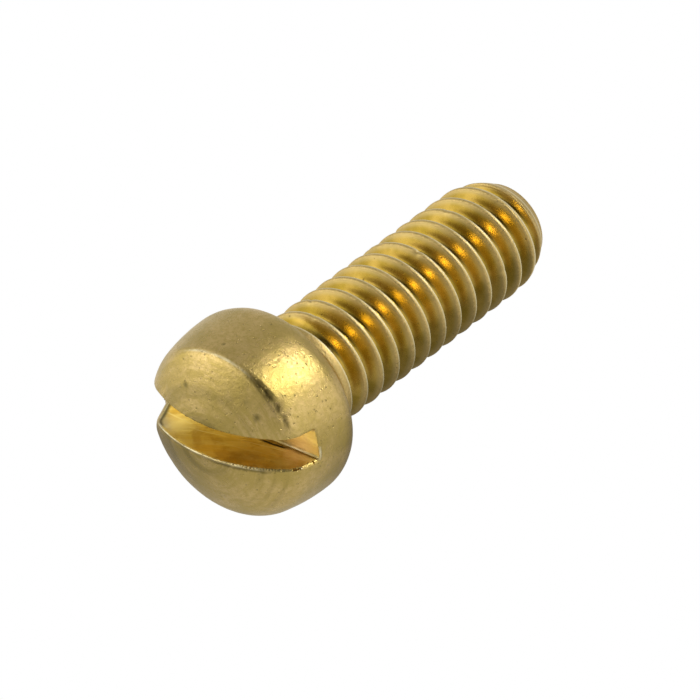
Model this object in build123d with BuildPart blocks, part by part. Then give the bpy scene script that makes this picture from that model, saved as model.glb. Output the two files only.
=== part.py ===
"""Slotted fillister-head machine screw, 1/4-20 UNC x 3/4 in, one piece of brass.

Millimetres.  The origin is the centre of the head's bearing face.  +Y runs along the
screw's axis from the head to the tip, the driver slot runs along X, and +Z is up.
The real screw is one rigid piece.  Its named features are separate solids that meet
face to face: the slotted head with its neck, the threaded shank, and the point.
"""

import os
from math import ceil, cos, pi, radians, sin, tan

from build123d import *

# ---- driving dimensions ------------------------------------------------------------
INCH = 25.4
major_d = 0.245 * INCH            # over the crests: a class 2A thread is a little under size
pitch = INCH / 20                 # 20 threads per inch
screw_length = 0.750 * INCH       # from the bearing face to the tip

head_d = 10.20                    # at the widest circle
bearing_d = 9.55                  # outer edge of the flat ring that bears on the work
rim_d = 9.28                      # where the side meets the dome
widest_height = 1.05              # from the bearing face to the widest circle
side_height = 4.20                # from the bearing face to the dome's rim
head_height = 5.70                # from the bearing face to the top of the dome
rim_round = 0.25                  # radius that softens the dome's rim

slot_width = 1.76
slot_depth = 2.90                 # from the top of the dome
slot_offset = 0.55                # the slot is cut this far above the centre line

neck_d = 5.45                     # plain neck: the diameter of the unrolled blank
neck_length = 0.70                # plain neck under the head
neck_round = 0.42                 # fillet under the head: it ends just outside the crests

thread_depth = 0.55 * pitch
crest_width = 0.22 * pitch
thread_angle = 60.0               # degrees between the two flanks
thread_phase = 0.54               # a crest crosses the +X side this many pitches up
runout_length = 1.00              # the grooves reach full depth over this length
runout_foot_r = 2.20              # the run-out cone ends this small, inside the core

point_length = 2.65               # the crests fall away over this length
tip_d = 4.20                      # flat at the very end

# ---- derived -----------------------------------------------------------------------
major_r = major_d / 2
core_r = major_r - thread_depth
neck_r = neck_d / 2
tip_r = tip_d / 2
point_y = screw_length - point_length
runout_y = neck_length + runout_length
runout_slope = (major_r - neck_r) / runout_length
flank_width = thread_depth * tan(radians(thread_angle / 2))
clear = head_d                    # a length that reaches well outside the screw


def across(y, turn=0):
    """The plane square to the axis at height y, facing the tip, turned by some radians."""
    return Plane(origin=(0, y, 0), x_dir=(cos(turn), 0, -sin(turn)), z_dir=(0, 1, 0))


def polar(radius, angle):
    """A point of a sketch from its radius and its angle in radians."""
    return (radius * cos(angle), radius * sin(angle))


def thread_section(y):
    """The thread's section square to the axis at height y.

    A right-hand thread's square section is one cam that turns once per pitch: an arc
    over the crest, an arc round the root, and a spiral up each flank between them.
    """
    crest_end = pi * crest_width / pitch
    flank_turn = 2 * pi * flank_width / pitch
    steps = 6
    flank = [
        polar(major_r - thread_depth * step / steps, crest_end + flank_turn * step / steps)
        for step in range(steps + 1)
    ]
    other_flank = [(x, -z) for x, z in reversed(flank)]
    with BuildSketch(across(y, 2 * pi * (y / pitch - thread_phase))) as section:
        with BuildLine():
            ThreePointArc(other_flank[-1], (major_r, 0), flank[0])
            Spline(*flank)
            ThreePointArc(flank[-1], (-core_r, 0), other_flank[0])
            Spline(*other_flank)
        make_face()
    return section.sketch.face()


def threaded_length(start, end):
    """Thread between two planes square to the axis, made turn by turn."""
    turns = ceil((end - start) / pitch)
    rise = (end - start) / turns
    lengths = [
        Solid.extrude_linear_with_rotation(
            thread_section(start + turn * rise),
            center=(0, start + turn * rise, 0),
            normal=(0, rise, 0),
            angle=360 * rise / pitch,
        )
        for turn in range(turns)
    ]
    return lengths[0].fuse(*lengths[1:])


os.makedirs("parts", exist_ok=True)

# ---- head: barrel sides under a shallow dome, a slot across it, and the plain neck --
with BuildPart() as head:
    with BuildSketch(Plane.XY):
        with BuildLine():
            widest = (head_d / 2, -widest_height)
            rim = (rim_d / 2, -side_height)
            dome_top = (0, -head_height)
            fillet_foot = (neck_r + neck_round, 0)
            TangentArc(widest, (bearing_d / 2, 0), tangent=(0, 1))
            TangentArc(widest, rim, tangent=(0, -1))
            TangentArc(dome_top, rim, tangent=(1, 0))
            Polyline(dome_top, (0, neck_length), (neck_r, neck_length), (neck_r, neck_round))
            TangentArc((neck_r, neck_round), fillet_foot, tangent=(0, -1))
            Line(fillet_foot, (bearing_d / 2, 0))
        make_face()
        fillet(vertices().sort_by_distance(rim)[0], rim_round)
    revolve(axis=Axis.Y)
    with BuildSketch(across(-head_height)):
        with Locations((0, -slot_offset)):
            Rectangle(2 * clear, slot_width)
    extrude(amount=slot_depth, mode=Mode.SUBTRACT)
head.part.label = "head"
export_step(head.part, "parts/head.step")

# ---- threaded shank: crests rise and grooves deepen as they leave the neck ----------
with BuildPart() as threaded_shank:
    add(threaded_length(neck_length, point_y))
    with BuildSketch(Plane.XY):
        Polygon(
            (neck_r, neck_length),
            (neck_r + runout_slope * clear, neck_length + clear),
            (2 * clear, neck_length + clear),
            (2 * clear, neck_length - clear),
            (neck_r, neck_length - clear),
            align=None,
        )
    revolve(axis=Axis.Y, mode=Mode.SUBTRACT)
    with BuildSketch(Plane.XY):
        Polygon(
            (0, neck_length),
            (neck_r, neck_length),
            (runout_foot_r, runout_y),
            (0, runout_y),
            align=None,
        )
    revolve(axis=Axis.Y)
threaded_shank.part.label = "threaded_shank"
export_step(threaded_shank.part, "parts/threaded_shank.step")

# ---- point: the last two turns, falling away to a small flat ------------------------
with BuildPart() as point:
    add(threaded_length(point_y, screw_length))
    with BuildSketch(Plane.XY):
        with BuildLine():
            TangentArc((major_r, point_y), (tip_r, screw_length), tangent=(0, 1))
            Polyline(
                (tip_r, screw_length),
                (tip_r, screw_length + clear),
                (clear, screw_length + clear),
                (clear, point_y - clear),
                (major_r, point_y - clear),
                (major_r, point_y),
            )
        make_face()
    revolve(axis=Axis.Y, mode=Mode.SUBTRACT)
point.part.label = "point"
export_step(point.part, "parts/point.step")
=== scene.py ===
import random
from math import cos, pi, radians, sin, sqrt, tan

import bmesh
import bpy
import numpy as np
from mathutils import Matrix, Vector, noise


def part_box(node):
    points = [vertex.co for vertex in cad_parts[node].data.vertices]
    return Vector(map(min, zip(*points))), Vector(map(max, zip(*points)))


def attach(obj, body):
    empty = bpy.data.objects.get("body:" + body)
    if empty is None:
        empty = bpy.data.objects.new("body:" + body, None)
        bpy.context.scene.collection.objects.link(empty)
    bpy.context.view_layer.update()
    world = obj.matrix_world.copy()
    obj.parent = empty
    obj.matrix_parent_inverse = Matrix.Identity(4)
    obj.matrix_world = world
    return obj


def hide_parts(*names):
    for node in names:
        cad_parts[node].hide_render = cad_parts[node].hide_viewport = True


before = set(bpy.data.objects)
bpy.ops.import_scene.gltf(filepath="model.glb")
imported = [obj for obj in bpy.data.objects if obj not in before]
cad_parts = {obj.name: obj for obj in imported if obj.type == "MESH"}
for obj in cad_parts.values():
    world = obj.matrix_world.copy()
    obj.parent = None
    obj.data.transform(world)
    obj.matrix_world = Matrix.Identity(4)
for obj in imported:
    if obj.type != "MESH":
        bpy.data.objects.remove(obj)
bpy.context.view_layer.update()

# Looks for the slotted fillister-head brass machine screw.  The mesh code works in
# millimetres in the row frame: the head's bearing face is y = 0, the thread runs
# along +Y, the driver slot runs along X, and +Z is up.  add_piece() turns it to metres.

MM = 0.001


# ---- dimensions --------------------------------------------------------------------
def box_mm(node):
    """The lowest and highest corners of a CAD node, in millimetres."""
    low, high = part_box(node)
    return low / MM, high / MM


head_low, head_high = box_mm("head")
shank_low, shank_high = box_mm("threaded_shank")
point_low, point_high = box_mm("point")

head_r = head_high.x
head_height = -head_low.y
neck_length = shank_low.y
major_r = shank_high.x
point_y = point_low.y
screw_length = point_high.y

bearing_r = 4.775                 # outer edge of the flat ring under the head
rim_r = 4.64                      # where the side meets the dome
widest_height = 1.05              # from the bearing face to the widest circle
side_height = 4.20                # from the bearing face to the dome's rim
rim_round = 0.16                  # where the crease is still crisp
rim_worn = 0.50                   # where tumbling has worn it soft
bearing_round = 0.15

slot_width = 1.70
slot_depth = 2.90
slot_offset = 0.52                # the slot is cut this far above the centre line
slot_corner = 0.14                # the saw's worn teeth leave a small round in the corners
slot_tilt = 0.034                 # the cut leans: this much lower for each mm to the left
slot_level_x = 1.0                # where the leaning cut is at its nominal height
slot_floor_y = slot_depth - head_height
lower_wall_z = slot_offset - slot_width / 2

lip_round = 0.05                  # the slot's edges, along their middle
lip_worn_below = 0.18             # added at the left end of the edge below the slot
lip_worn_above = 0.05             # added at the left end of the edge above the slot
lip_worn_right = 0.06             # added at the right ends of both edges
burr_height = 0.060               # the burr stands on the edge below the slot
burr_width = 0.05
gouge_depth = 0.08
gouge_width = 0.10

neck_r = 2.725
neck_round = 0.42

pitch = 1.27
thread_depth = 0.55 * pitch
crest_width = 0.15 * pitch
first_crest_extra = 0.22          # the first turn's crest is left wider by the run-out
crest_blend_head = 0.10           # the crests are worn rounder on the side of the head
crest_blend_tip = 0.05
root_blend = 0.22                 # the grooves have round roots
rolled_lip_height = 0.012         # a thin lip on the tip side of each crest
rolled_lip_middle = 0.06
rolled_lip_width = 0.045
flank_slope = 1 / tan(radians(30))
thread_phase = 0.54
runout_length = 1.00
runout_foot_r = 2.20
runout_blend = 0.04
point_blend = 0.03
tip_r = 2.10
tip_round = 0.30
tip_inset = 0.48                  # the end face is this much smaller all round


# ---- formulas ----------------------------------------------------------------------
def arc_radius(offset, rise):
    """Radius of an arc that starts straight and moves offset sideways over rise."""
    return (offset**2 + rise**2) / (2 * offset)


def rounded_max(a, b, radius):
    """The larger of two distances, with the edge between their surfaces rounded."""
    outside = np.hypot(np.maximum(a + radius, 0), np.maximum(b + radius, 0))
    return np.minimum(np.maximum(a, b), -radius) + outside


def ramp(x, blend):
    """0 below zero and x above it, with a soft bend that is 2 * blend wide."""
    soft = (x + blend) ** 2 / (4 * blend)
    return np.where(x < -blend, 0, np.where(x > blend, x, soft))


def smooth_step(x, start, end):
    """0 at start, 1 at end, smooth between them."""
    share = np.clip((x - start) / (end - start), 0, 1)
    return share * share * (3 - 2 * share)


def bell(gap, spread):
    """1 where the gap is zero, falling to 0 with a standard deviation of spread."""
    return np.exp(-(gap**2) / (2 * spread**2))


def noise_at(points, scale, seed):
    """Smooth noise from -1 to 1 at each point; scale is in waves per millimetre."""
    shift = Vector((seed * 7.31, seed * 3.17, seed * 5.53))
    return np.array([noise.noise(Vector(p) * scale + shift) for p in points])


# ---- the head's shape --------------------------------------------------------------
lower_side_r = arc_radius(head_r - bearing_r, widest_height)
upper_side_r = arc_radius(head_r - rim_r, side_height - widest_height)
dome_r = arc_radius(head_height - side_height, rim_r)

# Dents: x, y, z, radius, depth
DENTS = [
    (3.45, -4.00, 3.15, 0.20, 0.04),
    (3.80, -3.95, 2.70, 0.14, 0.04),
    (-0.27, -3.45, 4.83, 0.09, 0.03),
    (3.35, -1.30, 3.60, 0.10, 0.02),
    (2.30, -2.60, 4.35, 0.08, 0.02),
    (1.60, -5.05, 3.10, 0.12, 0.02),
    (-2.90, -4.90, 1.90, 0.12, 0.02),
    (0.60, -5.10, -3.00, 0.14, 0.02),
    (4.70, -2.40, 0.60, 0.10, 0.02),
    (-4.20, -2.20, 2.10, 0.10, 0.02),
    (-3.10, -3.00, -3.40, 0.14, 0.02),
    (1.20, -1.60, -4.80, 0.12, 0.02),
]


# Where the left end of the lower lobe is cut back: a point of the plane and its outside
LOBE_CUT_POINT = (-4.10, -3.90, lower_wall_z)
LOBE_CUT_OUTWARD = (-0.85, -0.35, 0.40)


def rim_angle(p):
    """Degrees round the head from the slot's right end, through the top."""
    return np.degrees(np.arctan2(p[:, 2], p[:, 0]))


def head_body(p):
    """Signed distance, in millimetres, to the head without its slot."""
    r = np.hypot(p[:, 0], p[:, 2])
    y = p[:, 1]
    lower = np.hypot(r - head_r + lower_side_r, y + widest_height) - lower_side_r
    upper = np.hypot(r - head_r + upper_side_r, y + widest_height) - upper_side_r
    side = np.where(y > -widest_height, lower, upper)
    dome = np.hypot(r, y + head_height - dome_r) - dome_r
    angle = rim_angle(p)
    crisp = smooth_step(angle, 5, 35) * smooth_step(angle, 150, 118)
    body = rounded_max(side, dome, rim_worn + (rim_round - rim_worn) * crisp)
    return rounded_max(body, y, bearing_round)


def worn_body(p):
    """Signed distance to the unslotted head, the left end of its lower lobe cut back."""
    body = head_body(p)
    cut = (p - LOBE_CUT_POINT) @ np.array(LOBE_CUT_OUTWARD)
    cut = cut - 1.5 * smooth_step(p[:, 1], -2.9, -2.4) - 2 * smooth_step(p[:, 2], -0.3, 0.3)
    return np.where(p[:, 2] < slot_offset, rounded_max(body, cut, 0.25), body)


def slot_wall(p):
    """Signed distance to the slot's leaning walls, below zero between them."""
    lean = slot_tilt * (p[:, 0] - slot_level_x)
    return np.abs(p[:, 2] - slot_offset - lean) - slot_width / 2


def slot_space(p):
    """Signed distance to the slot's space, below zero inside it."""
    return rounded_max(slot_wall(p), p[:, 1] - slot_floor_y, slot_corner)


def lip_radius(p):
    """How far the slot's edges are rounded: most at their left ends, below the slot."""
    worn_left = np.where(p[:, 2] < slot_offset, lip_worn_below, lip_worn_above)
    lip = lip_round + worn_left * smooth_step(-p[:, 0], 3.0, 3.9)
    return lip + lip_worn_right * smooth_step(p[:, 0], 4.0, 4.7)


def off_rim(p, lower=0.05):
    """Distance from the crease between the head's side and its dome."""
    return np.hypot(np.hypot(p[:, 0], p[:, 2]) - rim_r, p[:, 1] + side_height - lower)


def gouged(p):
    """1 along the stretch of the crease that a blow has gouged, and 0 away from it."""
    angle = rim_angle(p)
    return smooth_step(angle, 22, 34) * smooth_step(angle, 70, 52)


def head_surface(p):
    """Signed distance to the finished head, with its worn lips, burr, gouge and dents."""
    body = worn_body(p)
    slot = slot_space(p)
    field = rounded_max(body, -slot, lip_radius(p))
    lower_lip = (p[:, 2] < slot_offset) * smooth_step(-p[:, 0], 4.2, 3.4)
    burr = burr_height * bell(np.hypot(body, slot), burr_width)
    foot = 0.5 * burr_height * bell(np.hypot(body, slot - 0.14), 0.06)
    field = field + (foot - burr) * lower_lip
    field = field + gouge_depth * gouged(p) * bell(off_rim(p), gouge_width)
    for x, y, z, radius, depth in DENTS:
        gap = np.linalg.norm(p - (x, y, z), axis=1)
        field = field + depth * bell(gap, radius)
    return field


def head_painted_shade(p):
    """Share of dark painted shade on the head, from 0 to 1, at each point: in the gouged crease,
    in the slot's corners, under the burr and where the lower lip turns in.
    """
    body = worn_body(p)
    slot = slot_space(p)
    wall = slot_wall(p)
    uneven = noise_at(p, 2.6, 3) + 0.7 * noise_at(p, 7.0, 5)
    below = p[:, 2] < slot_offset
    gouge = gouged(p) * smooth_step(off_rim(p) + 0.06 * uneven, 0.18, 0.02)
    corner = np.hypot(wall, p[:, 1] - slot_floor_y) + 0.07 * uneven
    in_corner = smooth_step(corner, 0.24, 0.06) * smooth_step(-body, 0.05, 0.25)
    under_lip = np.hypot(body, slot - 0.15 + 0.04 * uneven)
    under_lip = smooth_step(under_lip, 0.12, 0.03) * below
    under_lip = under_lip * smooth_step(p[:, 0], -0.5, 1.0) * smooth_step(p[:, 0], 3.8, 3.0)
    turn_in = np.abs(wall + 0.02) + 0.5 * np.abs(body + 0.95 * lip_radius(p))
    turn_in = smooth_step(turn_in, 0.10, 0.03) * smooth_step(-p[:, 0], 3.0, 3.4) * below
    painted_shade = np.maximum(0.88 * gouge, 0.45 * in_corner)
    painted_shade = np.maximum(painted_shade, 0.6 * under_lip)
    return np.maximum(painted_shade, 0.75 * turn_in)


def head_rubbed_and_highlight(p):
    """Share of bright rubbed metal and painted highlight on the head's edges, from 0 to 1, at each
    point: along the burr below the slot and the crisp stretch of the crease.
    """
    uneven = noise_at(p, 1.8, 4) + 0.6 * noise_at(p, 5.0, 6)
    lower_lip = (p[:, 2] < slot_offset) * smooth_step(-p[:, 0], 4.2, 3.6)
    from_lip = np.hypot(worn_body(p), slot_space(p))
    edge = 0.95 * smooth_step(from_lip, 0.13, 0.04) * lower_lip
    angle = rim_angle(p)
    crisp = smooth_step(angle, 60, 72) * smooth_step(angle, 124, 112)
    crease = 0.75 * smooth_step(off_rim(p, 0.03), 0.10, 0.02) * crisp
    return np.clip(np.maximum(edge, crease) * (0.8 + 0.8 * uneven), 0, 1)


def settle_on(p, surface, rounds=10):
    """Moves points onto the surface where a signed distance is zero."""
    step = 0.002
    for _ in range(rounds):
        value = surface(p)
        slope = np.empty_like(p)
        for axis in range(3):
            shift = np.zeros(3)
            shift[axis] = step
            slope[:, axis] = (surface(p + shift) - surface(p - shift)) / (2 * step)
        size = np.maximum((slope**2).sum(1), 0.25)
        move = -(value / size)[:, None] * slope
        p = p + np.clip(move, -0.05, 0.05)
    return p


# ---- mesh helpers ------------------------------------------------------------------
def add_piece(name, mesh, node, material_list):
    """Links a mesh in millimetres as a visible piece that stands for one CAD node."""
    mesh.transform(Matrix.Scale(MM, 4))
    mesh.name = name
    for material in material_list:
        mesh.materials.append(material)
    piece = bpy.data.objects.new(name, mesh)
    bpy.context.scene.collection.objects.link(piece)
    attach(piece, "root")
    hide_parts(node)


def mesh_points(mesh):
    """The mesh's points, one row of x, y and z for each."""
    points = np.empty(len(mesh.vertices) * 3)
    mesh.vertices.foreach_get("co", points)
    return points.reshape(-1, 3)


def add_attributes(mesh, shares):
    """Stores under each name a share from 0 to 1 at each point, for the materials."""
    for name, share in shares.items():
        layer = mesh.attributes.new(name, "FLOAT", "POINT")
        layer.data.foreach_set("value", share.astype(np.float32))


def lathe(profile, segments):
    """A closed mesh of revolution about the Y axis; the profile starts and ends on it."""
    bm = bmesh.new()
    turns = [2 * pi * i / segments for i in range(segments)]
    start = bm.verts.new((0, profile[0][1], 0))
    rings = [
        [bm.verts.new((r * cos(t), y, r * sin(t))) for t in turns]
        for r, y in profile[1:-1]
    ]
    end = bm.verts.new((0, profile[-1][1], 0))
    for i in range(segments):
        k = (i + 1) % segments
        bm.faces.new((start, rings[0][i], rings[0][k]))
        bm.faces.new((end, rings[-1][k], rings[-1][i]))
        for ring, following in zip(rings, rings[1:]):
            bm.faces.new((ring[i], following[i], following[k], ring[k]))
    bmesh.ops.recalc_face_normals(bm, faces=bm.faces)
    mesh = bpy.data.meshes.new("lathe")
    bm.to_mesh(mesh)
    bm.free()
    return mesh


def head_profile():
    """Radius and height along the unslotted head, from the dome's top to its underside."""
    profile = [(0, -head_height)]
    rim_turn = np.arcsin(rim_r / dome_r)
    for turn in np.linspace(0, rim_turn, 14)[1:]:
        profile.append((dome_r * sin(turn), dome_r - head_height - dome_r * cos(turn)))
    for y in np.linspace(-side_height, -widest_height, 9)[1:]:
        reach = sqrt(upper_side_r**2 - (y + widest_height) ** 2)
        profile.append((head_r - upper_side_r + reach, y))
    for y in np.linspace(-widest_height, 0, 7)[1:]:
        reach = sqrt(lower_side_r**2 - (y + widest_height) ** 2)
        profile.append((head_r - lower_side_r + reach, y))
    profile.append((0, 0))
    return profile


def slot_block():
    """A closed box that fills the slot, square and level, and stands out of the head."""
    outer_y = -2 * head_height
    size = Vector((4 * head_r, slot_floor_y - outer_y, slot_width))
    place = Vector((0, (slot_floor_y + outer_y) / 2, slot_offset))
    bm = bmesh.new()
    bmesh.ops.create_cube(bm, size=1)
    bmesh.ops.scale(bm, vec=size, verts=bm.verts)
    bmesh.ops.translate(bm, vec=place, verts=bm.verts)
    mesh = bpy.data.meshes.new("cutter")
    bm.to_mesh(mesh)
    bm.free()
    return mesh


def make_head(voxel):
    """The head's mesh: a lathed blank is slotted, remeshed and settled on its surface."""
    blank = bpy.data.objects.new("blank", lathe(head_profile(), 128))
    cutter = bpy.data.objects.new("cutter", slot_block())
    for thing in (blank, cutter):
        bpy.context.scene.collection.objects.link(thing)
    cut = blank.modifiers.new("slot", "BOOLEAN")
    cut.operation = "DIFFERENCE"
    cut.object = cutter
    skin = blank.modifiers.new("skin", "REMESH")
    skin.mode = "VOXEL"
    skin.voxel_size = voxel
    shaped = blank.evaluated_get(bpy.context.evaluated_depsgraph_get())
    mesh = bpy.data.meshes.new_from_object(shaped)
    for thing in (blank, cutter):
        bpy.data.objects.remove(thing)
    points = settle_on(mesh_points(mesh), head_surface)
    # shares of painted shade, and of rubbed metal with painted highlight, for the materials
    add_attributes(mesh, {"painted_shade": head_painted_shade(points), "rubbed_and_highlight": head_rubbed_and_highlight(points)})
    swell = 0.010 * noise_at(points, 0.7, 1) + 0.004 * noise_at(points, 2.2, 2)
    under = smooth_step(points[:, 1], -0.5, -0.1)
    outward = points - (0, -2.3, 0)
    outward /= np.linalg.norm(outward, axis=1)[:, None]
    points += outward * (swell * (1 - under))[:, None]
    mesh.vertices.foreach_set("co", points.ravel())
    mesh.update()
    mesh.shade_smooth()
    return mesh


def mark_slot_faces(mesh, index):
    """Gives the slot's walls and floor their own material, and shades them flat."""
    centres = np.empty(len(mesh.polygons) * 3)
    mesh.polygons.foreach_get("center", centres)
    centres = centres.reshape(-1, 3)
    deep = head_body(centres) < -0.03 - 0.7 * lip_radius(centres)
    inside = (slot_space(centres) < 0.03) & deep
    mesh.polygons.foreach_set("material_index", np.where(inside, index, 0).astype(int))
    mesh.polygons.foreach_set("use_smooth", ~inside)


# ---- the thread's shape ------------------------------------------------------------
point_arc = arc_radius(major_r - tip_r, screw_length - point_y)
dice = random.Random(11)
# Nicks on the crests: angle, number of the crest, size, depth
NICKS = [
    (
        dice.uniform(0, 2 * pi),
        dice.randrange(2, 14),
        dice.uniform(0.05, 0.12),
        dice.uniform(0.03, 0.08),
    )
    for _ in range(26)
]


def groove(along, y):
    """Depth below the crests, at a distance along the axis from a crest's middle."""
    extra = first_crest_extra * smooth_step(y, 2.7, 2.1)
    head_flank = ramp(-along - crest_width / 2 - extra, crest_blend_head)
    tip_flank = ramp(along - crest_width / 2, crest_blend_tip)
    flank = flank_slope * np.where(along < 0, head_flank, tip_flank)
    return thread_depth - ramp(thread_depth - flank, root_blend)


def crest_limit(y):
    """The radii that hold the crests back at a height: the point's and the run-out's."""
    over = np.clip(y - point_y, 0, screw_length - point_y)
    point_r = major_r - point_arc + np.sqrt(point_arc**2 - over**2)
    start_r = neck_r + (major_r - neck_r) * (y - neck_length) / runout_length
    return point_r, np.maximum(start_r, neck_r)


def along_crest(theta, y):
    """Distance along the axis from the nearest crest's middle, towards the tip."""
    turn = (y / pitch - thread_phase + theta / (2 * pi) + 0.5) % 1 - 0.5
    return turn * pitch


def thread_radius(theta, y):
    """Radius of the threaded shank, its run-out and its point, in millimetres."""
    along = along_crest(theta, y)
    from_lip = (along - rolled_lip_middle) / rolled_lip_width
    r = major_r - groove(along, y) + rolled_lip_height * np.exp(-(from_lip**2))
    for angle, crest, size, depth in NICKS:
        crest_y = pitch * (crest + thread_phase - angle / (2 * pi))
        gap = np.hypot(2 * major_r * np.sin((theta - angle) / 2), y - crest_y)
        r = r - depth * bell(gap, size)
    point_r, start_r = crest_limit(y)
    r = point_r - ramp(point_r - r, point_blend)
    r = start_r - ramp(start_r - r, runout_blend)
    fill_r = neck_r + (runout_foot_r - neck_r) * (y - neck_length) / runout_length
    return fill_r + ramp(r - fill_r, runout_blend)


def paint_thread(mesh):
    """Marks how near each point is to the crest, and the crests' tip-side edge, where a thin
    highlight is painted.
    """
    x, y, z = mesh_points(mesh).T
    point_r, start_r = crest_limit(y)
    depth = np.minimum(np.minimum(point_r, start_r), major_r) - np.hypot(x, z)
    off_edge = np.abs(along_crest(np.arctan2(z, x), y) - 0.07)
    add_attributes(mesh, {
        "outer": smooth_step(depth, 0.32, 0.08),
        "crest": smooth_step(depth, 0.16, 0.05),
        "edge": smooth_step(off_edge, 0.09, 0.03) * smooth_step(depth, 0.10, 0.02),
    })


def ring_points(theta, y, radius):
    """Points round the axis at the given angles, heights and radii."""
    return np.stack([radius * np.cos(theta), y + 0 * theta, radius * np.sin(theta)], -1)


def make_threaded(start, end, before, after, columns=240, rows_per_pitch=30):
    """A closed mesh of the thread from start to end.

    Its rows follow the helix, so the crests stay crisp, and are held back at both end
    planes, where their points are welded.  before and after are plain rings, each a
    height and a radius, that carry the mesh on to its closed ends.
    """
    theta = 2 * pi * np.arange(columns) / columns
    first = int(np.floor((start / pitch - thread_phase) * rows_per_pitch)) - 1
    last = int(np.ceil((end / pitch - thread_phase + 1) * rows_per_pitch)) + 1
    rows = np.arange(first, last + 1)
    y = pitch * (rows[:, None] / rows_per_pitch + thread_phase - theta / (2 * pi))
    y = np.clip(y, start, end)
    angle = np.broadcast_to(theta, y.shape)
    surface = ring_points(angle, y, thread_radius(angle, y)).reshape(-1, 3)
    grid = np.arange(len(surface)).reshape(len(rows), columns)
    quads = [
        (a, b, c, d)
        for here, there in zip(grid, grid[1:])
        for a, b, c, d in zip(here, there, there[1:], here[1:])
    ]
    for row in range(len(rows) - rows_per_pitch - 1):
        upper = row + rows_per_pitch
        quads.append((grid[upper, -1], grid[upper + 1, -1], grid[row + 1, 0], grid[row, 0]))
    points = [surface]
    count = len(surface)
    for rings, edge in ((before, start), (after, end)):
        edge_r = thread_radius(theta, np.full(columns, edge))
        loops = [ring_points(theta, edge, edge_r)]
        loops += [ring_points(theta, ring_y, ring_r) for ring_y, ring_r in rings]
        points += loops
        for number in range(len(loops) - 1):
            a = count + number * columns
            quads += [
                (a + i, a + columns + i, a + columns + (i + 1) % columns, a + (i + 1) % columns)
                for i in range(columns)
            ]
        count += len(loops) * columns
        centre_y = rings[-1][0] if rings else edge
        points.append(np.array([[0, centre_y, 0]]))
        rim = count - columns
        quads += [(rim + i, rim + (i + 1) % columns, count) for i in range(columns)]
        count += 1
    mesh = bpy.data.meshes.new("thread")
    mesh.from_pydata(np.concatenate(points).tolist(), [], [tuple(map(int, q)) for q in quads])
    bm = bmesh.new()
    bm.from_mesh(mesh)
    bmesh.ops.remove_doubles(bm, verts=bm.verts, dist=1e-4)
    bmesh.ops.dissolve_degenerate(bm, edges=bm.edges, dist=1e-5)
    bmesh.ops.recalc_face_normals(bm, faces=bm.faces)
    bm.to_mesh(mesh)
    bm.free()
    paint_thread(mesh)
    mesh.shade_smooth()
    return mesh


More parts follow.
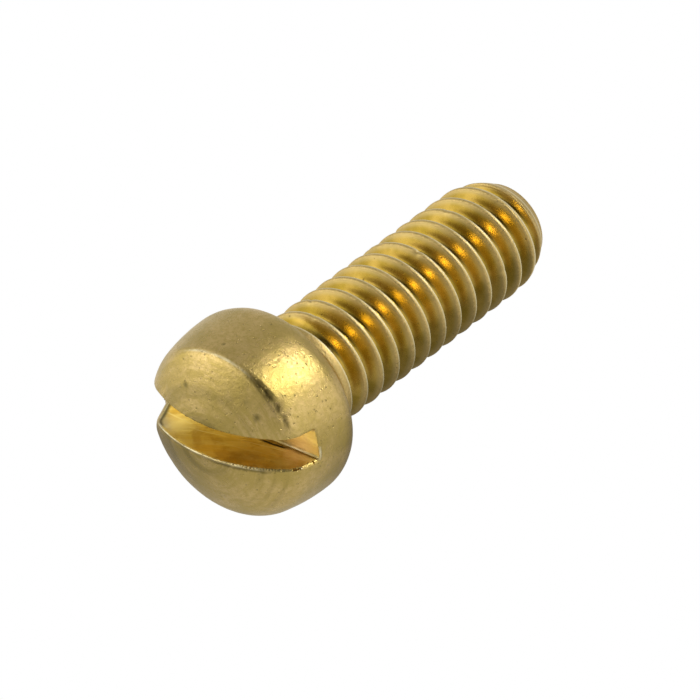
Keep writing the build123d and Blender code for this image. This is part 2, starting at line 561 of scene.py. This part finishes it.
# ---- material nodes ----------------------------------------------------------------
class Nodes:
    """A short way to write a material's nodes. Sockets go in, sockets come out."""

    def __init__(self, name):
        self.material = bpy.data.materials.new(name)
        self.material.use_nodes = True
        self.tree = self.material.node_tree
        self.shader = self.tree.nodes["Principled BSDF"]

    def add(self, kind, inputs=(), **settings):
        """Adds a node; inputs are (socket name or number, value or output) pairs."""
        node = self.tree.nodes.new("ShaderNode" + kind)
        for key, value in settings.items():
            setattr(node, key, value)
        for socket, value in inputs:
            if isinstance(value, bpy.types.NodeSocket):
                self.tree.links.new(value, node.inputs[socket])
            else:
                node.inputs[socket].default_value = value
        return node

    def math(self, operation, a, b=0.0, c=0.0):
        """The result of one arithmetic step."""
        return self.add("Math", [(0, a), (1, b), (2, c)], operation=operation).outputs[0]

    def hypotenuse(self, a, b):
        """The square root of a squared plus b squared."""
        squares = [self.math("MULTIPLY", side, side) for side in (a, b)]
        return self.math("SQRT", self.math("ADD", *squares))

    def attribute(self, name):
        """A share from 0 to 1 that the mesh carries at its points."""
        return self.add("Attribute", attribute_name=name).outputs["Fac"]

    def vector_math(self, operation, a, b=(0, 0, 0)):
        """A node for one step with vectors; a length or a product is its "Value"."""
        return self.add("VectorMath", [(0, a), (1, b)], operation=operation)

    def millimetres(self):
        """The point's place in the row frame, in millimetres."""
        place = self.add("TexCoord").outputs["Object"]
        scaled = self.add("VectorMath", [(0, place), ("Scale", 1 / MM)], operation="SCALE")
        return scaled.outputs[0]

    def fog(self, place, scale, detail=4, roughness=0.55):
        """Noise from 0 to 1; scale is in waves per millimetre."""
        pairs = [("Vector", place), ("Scale", scale), ("Detail", detail)]
        pairs += [("Roughness", roughness)]
        return self.add("TexNoise", pairs).outputs["Fac"]

    def step(self, value, start, end, low=0.0, high=1.0):
        """value from start..end becomes low..high, smoothly and held at both ends."""
        pairs = [("Value", value), ("From Min", start), ("From Max", end)]
        pairs += [("To Min", low), ("To Max", high)]
        return self.add("MapRange", pairs, interpolation_type="SMOOTHSTEP").outputs["Result"]

    def mix(self, share, a, b):
        """A colour between a and b."""
        pairs = [(0, share), (6, a), (7, b)]
        return self.add("Mix", pairs, data_type="RGBA").outputs[2]

    def bump(self, height, depth, below=None):
        """A bump whose full height is depth, in millimetres."""
        pairs = [("Height", height), ("Distance", depth * MM), ("Strength", 1.0)]
        if below is not None:
            pairs.append(("Normal", below))
        return self.add("Bump", pairs).outputs["Normal"]

    def pits(self, place, scale, size, presence):
        """1 in scattered round pits and 0 outside them."""
        cells = self.add("TexVoronoi", [("Vector", place), ("Scale", scale)])
        chance = self.add("SeparateColor", [("Color", cells.outputs["Color"])]).outputs[0]
        reach = self.math("MULTIPLY", chance, size * scale)
        here = self.step(chance, presence, presence + 0.02)
        inside = self.step(self.math("DIVIDE", cells.outputs["Distance"], reach), 1.0, 0.4)
        return self.math("MULTIPLY", inside, here)

    def spot(self, place, centre, radius, strength):
        """A soft-edged spot round a point in millimetres, with an uneven outline."""
        gap = self.vector_math("DISTANCE", place, centre).outputs["Value"]
        uneven = self.math("MULTIPLY_ADD", self.fog(place, 3.0), 0.8 * radius, gap)
        return self.step(uneven, 1.5 * radius, 0.4 * radius, 0.0, strength)

    def streak(self, place, start, end, half_width, strength):
        """A straight mark between two points in millimetres, softer at its ends."""
        start, end = Vector(start), Vector(end)
        length = (end - start).length
        run = (end - start).normalized()
        side = Vector((-run.y, run.x, 0))
        from_start = self.vector_math("SUBTRACT", place, start).outputs[0]
        along = self.vector_math("DOT_PRODUCT", from_start, run).outputs["Value"]
        off = self.vector_math("DOT_PRODUCT", from_start, side).outputs["Value"]
        wander = self.math("SUBTRACT", self.fog(place, 2.5), 0.5)
        off = self.math("MULTIPLY_ADD", wander, 1.2 * half_width, off)
        off = self.math("ABSOLUTE", off)
        share = self.step(off, half_width, 0.3 * half_width, 0.0, strength)
        share = self.math("MULTIPLY", share, self.step(along, 0, 0.25 * length))
        return self.math("MULTIPLY", share, self.step(along, length, 0.75 * length))

    def finish(self, colour, roughness, normal):
        """The material, as metal with this colour, roughness and normal."""
        links = self.tree.links
        links.new(colour, self.shader.inputs["Base Color"])
        links.new(roughness, self.shader.inputs["Roughness"])
        links.new(normal, self.shader.inputs["Normal"])
        self.shader.inputs["Metallic"].default_value = 1.0
        return self.material


BRASS_LIGHT = (0.81, 0.585, 0.225, 1)
BRASS_OLIVE = (0.60, 0.44, 0.12, 1)
BRASS_GOLD = (0.59, 0.39, 0.075, 1)
BRASS_DEEP = (0.43, 0.285, 0.035, 1)
BRASS_PALE = (0.74, 0.59, 0.27, 1)
BRASS_SAWN = (1.0, 0.85, 0.38, 1)
BRASS_SAWN_DEEP = (0.92, 0.73, 0.24, 1)
BRASS_BROWN = (0.62, 0.42, 0.10, 1)
BRASS_BRIGHT = (0.98, 0.85, 0.50, 1)
# the painted light on the slot's floor at its right end
PAINTED_LIGHT_PEACH = (1.0, 0.76, 0.46, 1)
OXIDE = (0.12, 0.10, 0.03, 1)
# the colour of the painted shade, and of one dark mark on the slot's lower wall
NEAR_BLACK = (0.045, 0.035, 0.012, 1)


def tumbled_brass():
    """The head's outside: satin, finely pitted, mottled olive and pale gold."""
    n = Nodes("brass_tumbled")
    place = n.millimetres()
    mottle = n.step(n.fog(place, 0.55, 5, 0.6), 0.35, 0.68)
    colour = n.mix(mottle, BRASS_LIGHT, BRASS_OLIVE)
    grain = n.fog(place, 5.0, 5, 0.72)
    colour = n.mix(n.step(grain, 0.44, 0.62, 0.0, 0.65), colour, BRASS_OLIVE)
    specks = n.fog(place, 9.0, 3, 0.6)
    colour = n.mix(n.step(specks, 0.62, 0.74, 0.0, 0.42), colour, OXIDE)
    pits = n.pits(place, 4.0, 0.07, 0.45)
    colour = n.mix(n.math("MULTIPLY", pits, 0.28), colour, OXIDE)
    stains = [
        ((-1.48, -5.01, 2.87), 0.24, 0.70),
        ((2.75, -4.78, 2.47), 0.30, 0.70),
        ((-0.27, -3.45, 4.83), 0.13, 0.60),
        ((2.10, -4.95, 3.10), 0.40, 0.40),
        ((1.20, -5.10, 3.00), 0.45, 0.25),
        ((-3.60, -4.55, 1.55), 0.30, 0.35),
    ]
    for centre, radius, strength in stains:
        colour = n.mix(n.spot(place, centre, radius, strength), colour, OXIDE)
    parts = n.add("SeparateXYZ", [("Vector", place)]).outputs
    across = n.hypotenuse(parts[0], parts[2])
    # faint rings that a lathe tool left on the dome
    track = n.add("CombineXYZ", [
        (0, across),
        (1, n.math("MULTIPLY", parts[0], 0.12)),
        (2, n.math("MULTIPLY", parts[2], 0.12)),
    ]).outputs[0]
    on_dome = n.step(parts[1], -4.1, -4.4)
    rings = n.math("MULTIPLY", n.fog(track, 4.5, 4, 0.7), on_dome)
    colour = n.mix(n.step(rings, 0.46, 0.62, 0.0, 0.80), colour, BRASS_OLIVE)
    bands = n.math("MULTIPLY", n.fog(track, 1.1, 2, 0.5), on_dome)
    colour = n.mix(n.step(bands, 0.50, 0.66, 0.0, 0.28), colour, OXIDE)
    # painted shade: darker in the gouged crease, the slot's corners and under the burr
    colour = n.mix(n.attribute("painted_shade"), colour, NEAR_BLACK)
    # rubbed metal and a painted highlight along the burr and the crisp crease
    colour = n.mix(n.attribute("rubbed_and_highlight"), colour, BRASS_BRIGHT)
    roughness = n.step(n.fog(place, 2.5, 3), 0.3, 0.7, 0.27, 0.33)
    normal = n.bump(n.fog(place, 2.4, 4, 0.6), 0.016)
    normal = n.bump(grain, 0.028, normal)
    normal = n.bump(rings, 0.0050, normal)
    normal = n.bump(n.math("SUBTRACT", 1.0, pits), 0.022, normal)
    return n.finish(colour, roughness, normal)


def sawn_brass():
    """The slot's walls and floor: brighter gold, with the saw's curved scratches."""
    n = Nodes("brass_sawn")
    place = n.millimetres()
    parts = n.add("SeparateXYZ", [("Vector", place)]).outputs
    # the slitting saw's axle, beyond the dome: its scratches are arcs about this point
    saw_x, saw_y = 7.5, -20.0
    dx = n.math("SUBTRACT", parts[0], saw_x)
    dy = n.math("SUBTRACT", parts[1], saw_y)
    out = n.hypotenuse(dx, dy)
    along = n.math("MULTIPLY", n.math("ARCTAN2", dy, dx), 1.5)
    track = n.add("CombineXYZ", [(0, out), (1, along), (2, parts[2])]).outputs[0]
    fine = n.fog(track, 9.0, 3, 0.6)
    broad = n.fog(track, 1.6, 2, 0.5)
    colour = n.mix(n.step(broad, 0.42, 0.62), BRASS_SAWN, BRASS_SAWN_DEEP)
    patch = n.step(n.fog(place, 0.8, 3), 0.48, 0.62, 0.0, 0.65)
    colour = n.mix(patch, colour, BRASS_BROWN)
    # painted light and shade in the slot: darker brown from the left end towards the right,
    # painted light at the left end of the lower wall and on the floor at the right end, and a
    # painted shade patch on the lower wall
    colour = n.mix(n.step(parts[0], -2.2, 0.2, 0.0, 0.30), colour, BRASS_BROWN)
    slot_light_and_shade = [
        ((-2.7, -4.3, lower_wall_z), 1.3, 0.80, BRASS_BRIGHT),
        ((3.6, slot_floor_y, 0.2), 1.6, 0.80, PAINTED_LIGHT_PEACH),
        ((1.5, -4.95, lower_wall_z), 0.75, 0.60, BRASS_DEEP),
    ]
    for centre, radius, strength, patch_colour in slot_light_and_shade:
        colour = n.mix(n.spot(place, centre, radius, strength), colour, patch_colour)
    # bright scratches and one dark mark on the lower wall: start, end, half width, strength
    scratches = [
        ((-1.9, -4.22), (0.1, -3.76), 0.045, 0.9, BRASS_BRIGHT),
        ((0.0, -3.78), (3.9, -3.06), 0.035, 0.8, BRASS_BRIGHT),
        ((-4.1, -3.78), (-1.9, -3.92), 0.080, 0.9, BRASS_BRIGHT),
        ((-3.4, -4.40), (-0.8, -3.98), 0.030, 0.4, BRASS_BRIGHT),
        ((-0.9, -4.50), (2.4, -4.02), 0.030, 0.4, BRASS_BRIGHT),
        ((1.2, -4.10), (4.2, -3.62), 0.030, 0.5, BRASS_BRIGHT),
        ((1.25, -3.13), (3.2, -2.98), 0.11, 1.0, NEAR_BLACK),
    ]
    for start, end, half_width, strength, mark_colour in scratches:
        start, end = (*start, lower_wall_z), (*end, lower_wall_z)
        scratch = n.streak(place, start, end, half_width, strength)
        colour = n.mix(scratch, colour, mark_colour)
    # painted shade in the slot's corners and under its lower lip
    colour = n.mix(n.attribute("painted_shade"), colour, NEAR_BLACK)
    # rubbed metal and a painted highlight along the burr below the slot
    colour = n.mix(n.attribute("rubbed_and_highlight"), colour, BRASS_BRIGHT)
    roughness = n.step(fine, 0.3, 0.7, 0.28, 0.40)
    normal = n.bump(fine, 0.008)
    normal = n.bump(broad, 0.020, normal)
    return n.finish(colour, roughness, normal)


def threaded_brass():
    """The thread: smooth, deep gold roots, and paler, rougher flanks towards the crests."""
    n = Nodes("brass_threaded")
    place = n.millimetres()
    outer, crest, edge = n.attribute("outer"), n.attribute("crest"), n.attribute("edge")
    mottle = n.step(n.fog(place, 0.9, 4, 0.6), 0.35, 0.65)
    colour = n.mix(mottle, BRASS_GOLD, BRASS_DEEP)
    colour = n.mix(n.math("MULTIPLY", outer, 0.48), colour, BRASS_PALE)
    worn = n.fog(place, 6.0, 4, 0.7)
    rubbed = n.math("MULTIPLY", crest, n.step(worn, 0.40, 0.65, 0.2, 1.0))
    colour = n.mix(rubbed, colour, BRASS_LIGHT)
    # a thin painted highlight along each crest's tip-side edge
    colour = n.mix(edge, colour, BRASS_BRIGHT)
    pits = n.pits(place, 2.6, 0.06, 0.75)
    colour = n.mix(n.math("MULTIPLY", pits, 0.4), colour, OXIDE)
    roughness = n.step(n.fog(place, 3.0, 3), 0.3, 0.7, 0.25, 0.29)
    roughness = n.math("MULTIPLY_ADD", outer, 0.08, roughness)
    roughness = n.math("MULTIPLY_ADD", crest, 0.12, roughness)
    # fine lines drawn along the groove by the die
    lines = n.fog(n.vector_math("MULTIPLY", place, (0.25, 1.0, 0.25)).outputs[0], 7.0, 3, 0.6)
    normal = n.bump(lines, 0.0004)
    normal = n.bump(n.math("MULTIPLY", worn, crest), 0.026, normal)
    normal = n.bump(n.math("SUBTRACT", 1.0, pits), 0.012, normal)
    return n.finish(colour, roughness, normal)


# ---- the pieces --------------------------------------------------------------------
tumbled, sawn, threaded = tumbled_brass(), sawn_brass(), threaded_brass()

head_mesh = make_head(voxel=0.064)
mark_slot_faces(head_mesh, 1)
add_piece("screw_head", head_mesh, "head", [tumbled, sawn])

# the neck's fillet, then a ring inside the face that meets the head
neck_turns = np.linspace(0, pi / 2, 9)
neck_rings = [(neck_round * (1 - sin(t)), neck_r + neck_round * (1 - cos(t))) for t in neck_turns]
neck_rings += [(0, 0.5 * neck_r)]
shank_mesh = make_threaded(neck_length, point_y, neck_rings, [])
add_piece("screw_shank", shank_mesh, "threaded_shank", [threaded])

# the round at the tip, then a ring inside the end face
tip_turns = np.linspace(0, pi / 2, 9)[1:]
plain_y = screw_length - tip_round
plain_r = float(thread_radius(np.zeros(1), np.full(1, plain_y))[0])
tip_rings = [(plain_y + tip_round * sin(t), plain_r - tip_inset * (1 - cos(t))) for t in tip_turns]
tip_rings += [(screw_length, 0.9)]
point_mesh = make_threaded(point_y, plain_y, [], tip_rings)
add_piece("screw_point", point_mesh, "point", [threaded])


# ---- floor -------------------------------------------------------------------------
def add_floor(name, height):
    """A wide level plane, in metres, with a black material."""
    half = 1.5
    mesh = bpy.data.meshes.new(name)
    corners = [(-half, -half, height), (half, -half, height)]
    corners += [(half, half, height), (-half, half, height)]
    mesh.from_pydata(corners, [], [(0, 1, 2, 3)])
    plane = bpy.data.objects.new(name, mesh)
    bpy.context.scene.collection.objects.link(plane)
    n = Nodes(name)
    n.shader.inputs["Base Color"].default_value = (0, 0, 0, 1)
    n.shader.inputs["Specular IOR Level"].default_value = 0
    n.shader.inputs["Emission Color"].default_value = (1, 1, 1, 1)
    mesh.materials.append(n.material)
    return plane, n


# white paper, lit so evenly that it shows no shadow
floor, paper = add_floor("floor", -head_r * MM)
floor.visible_glossy = False
floor.visible_diffuse = False
paper.shader.inputs["Emission Strength"].default_value = 1.0

# what the metal sees of that paper: brighter to the right and at the far left, and
# shaded under the shank
shade, grey = add_floor("floor_in_reflections", -(head_r + 0.05) * MM)
shade.visible_camera = False
spot_x, spot_y, _ = grey.add("SeparateXYZ", [("Vector", grey.millimetres())]).outputs
near_light = grey.step(spot_x, -7.0, 4.0, 0.36, 0.58)
lit = grey.math("ADD", near_light, grey.step(spot_x, -9.0, -16.0, 0.0, 0.40))
across = grey.math("DIVIDE", grey.math("SUBTRACT", spot_x, 3.0), 8.5)
lengthwise = grey.math("DIVIDE", grey.math("SUBTRACT", spot_y, 9.0), 10.0)
open_share = grey.step(grey.hypotenuse(across, lengthwise), 0.60, 1.20, 0.42, 1.0)
lit = grey.math("MULTIPLY", lit, open_share)
grey.tree.links.new(lit, grey.shader.inputs["Emission Strength"])

# ---- camera ------------------------------------------------------------------------
azimuth, elevation, roll = radians(39.40), radians(34.48), radians(-2.12)
aim = Vector((2.10, 3.23, 1.69)) * MM
camera_distance = 240.8 * MM
back = Vector((sin(azimuth) * cos(elevation), -cos(azimuth) * cos(elevation), sin(elevation)))
level = Vector((cos(azimuth), sin(azimuth), 0))
upright = back.cross(level)
right = level * cos(roll) + upright * sin(roll)
above = upright * cos(roll) - level * sin(roll)
camera_data = bpy.data.cameras.new("camera")
camera_data.lens = 252.2
camera_data.sensor_width = 36
camera_data.clip_start = 0.01
camera_data.clip_end = 10
camera = bpy.data.objects.new("camera", camera_data)
bpy.context.scene.collection.objects.link(camera)
axes = Matrix((right, above, back)).transposed().to_4x4()
camera.matrix_world = Matrix.Translation(aim + back * camera_distance) @ axes
bpy.context.scene.camera = camera

# ---- light -------------------------------------------------------------------------
bpy.context.scene.view_settings.view_transform = "Standard"


def soft_light(name, direction, distance, size, power):
    """A square soft light that faces the screw from a direction."""
    data = bpy.data.lights.new(name, "AREA")
    data.size = size
    data.energy = power
    light = bpy.data.objects.new(name, data)
    bpy.context.scene.collection.objects.link(light)
    toward = Vector(direction).normalized()
    centre = Vector((0, 7, 0)) * MM
    light.location = centre + toward * distance
    light.rotation_mode = "QUATERNION"
    light.rotation_quaternion = toward.to_track_quat("Z", "Y")


soft_light("key", direction=(0.50, 0.35, 0.76), distance=0.35, size=0.036, power=0.35)

# The room as the metal sees it: an even glow, three soft white panels on the left, one
# on the right, and a dark flag above the camera.  Each has a direction, the cosines to
# that direction where it begins and is full, and a brightness.
ROOM_LIGHT = 0.38
PANELS = [
    ((-0.62, 0.70, 0.10), 0.58, 0.95, 0.15),
    ((-0.88, -0.38, 0.25), 0.82, 0.98, 0.72),
    ((-0.50, -0.66, 0.56), 0.86, 0.99, 1.12),
    ((0.85, 0.20, 0.00), 0.55, 0.92, 0.62),
    ((0.52, -0.36, 0.78), 0.80, 0.97, -0.38),
]
world = bpy.data.worlds.new("studio")
bpy.context.scene.world = world
world.use_nodes = True
sky = world.node_tree
toward_sky = sky.nodes.new("ShaderNodeTexCoord").outputs["Generated"]
glow = ROOM_LIGHT
for direction, begins, full, brightness in PANELS:
    facing = sky.nodes.new("ShaderNodeVectorMath")
    facing.operation = "DOT_PRODUCT"
    sky.links.new(toward_sky, facing.inputs[0])
    facing.inputs[1].default_value = Vector(direction).normalized()
    panel = sky.nodes.new("ShaderNodeMapRange")
    panel.interpolation_type = "SMOOTHSTEP"
    panel.inputs["From Min"].default_value = begins
    panel.inputs["From Max"].default_value = full
    panel.inputs["To Max"].default_value = brightness
    sky.links.new(facing.outputs["Value"], panel.inputs["Value"])
    total = sky.nodes.new("ShaderNodeMath")
    if isinstance(glow, float):
        total.inputs[1].default_value = glow
    else:
        sky.links.new(glow, total.inputs[1])
    sky.links.new(panel.outputs["Result"], total.inputs[0])
    glow = total.outputs[0]
sky.links.new(glow, sky.nodes["Background"].inputs["Strength"])
sky.nodes["Background"].inputs["Color"].default_value = (1, 1, 1, 1)
